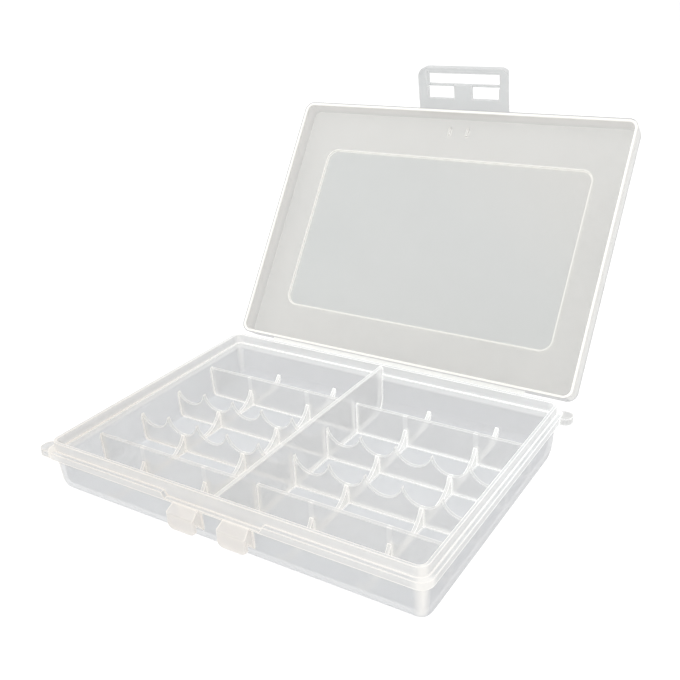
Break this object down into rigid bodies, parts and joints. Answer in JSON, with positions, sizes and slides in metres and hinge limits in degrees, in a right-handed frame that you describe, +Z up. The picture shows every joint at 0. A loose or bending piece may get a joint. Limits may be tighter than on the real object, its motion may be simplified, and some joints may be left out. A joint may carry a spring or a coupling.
{
  "type": "battery storage case",
  "caption": "Frosted plastic battery storage case: a shallow tray with ribs and cradles for two cell sizes, a lid on a living hinge and a folding snap latch.",
  "frame": {"origin": "centre of the tray's flat underside", "axes": "+X to the right along the front, +Y to the back where the lid's hinge is, +Z up"},
  "size_m": [0.1154, 0.1384, 0.0934],
  "materials": {
    "tray": "frosted translucent",
    "partitions": "frosted translucent",
    "lid": "frosted translucent",
    "latch": "frosted translucent",
    "catches": "frosted translucent",
    "hinge_film": "thin, clearer"
  },
  "bodies": {
    "tray": {"back_cradle_rib_left": "partitions", "back_cradle_rib_right": "partitions", "back_stop_rib_left": "partitions", "back_stop_rib_right": "partitions", "catch_left": "catches", "catch_right": "catches", "centre_divider": "partitions", "front_cradle_rib_left": "partitions", "front_cradle_rib_right": "partitions", "front_stop_rib_left": "partitions", "front_stop_rib_right": "partitions", "inner_fins_left": "partitions", "inner_fins_right": "partitions", "lug_back_right": "catches", "lug_front_left": "catches", "outer_fins_left": "partitions", "outer_fins_right": "partitions", "tray_hinge_web": "hinge_film", "tray_shell": "tray"},
    "lid": {"lid_shell": "lid", "lid_hinge_web": "hinge_film", "latch_hinge_web": "hinge_film"},
    "latch": {"latch_plate": "latch", "latch_root_web": "hinge_film"}
  },
  "joints": [
    {"name": "lid_hinge", "type": "hinge", "parent": "tray", "child": "lid", "pos_m": [0, 0.04214, 0.0135], "axis": [-1, 0, 0], "range_deg": [-125, 55]},
    {"name": "latch_hinge", "type": "hinge", "parent": "lid", "child": "latch", "pos_m": [0, 0.09401, 0.07904], "axis": [-1, 0, 0], "range_deg": [-47.8, 42.2]}
  ]
}
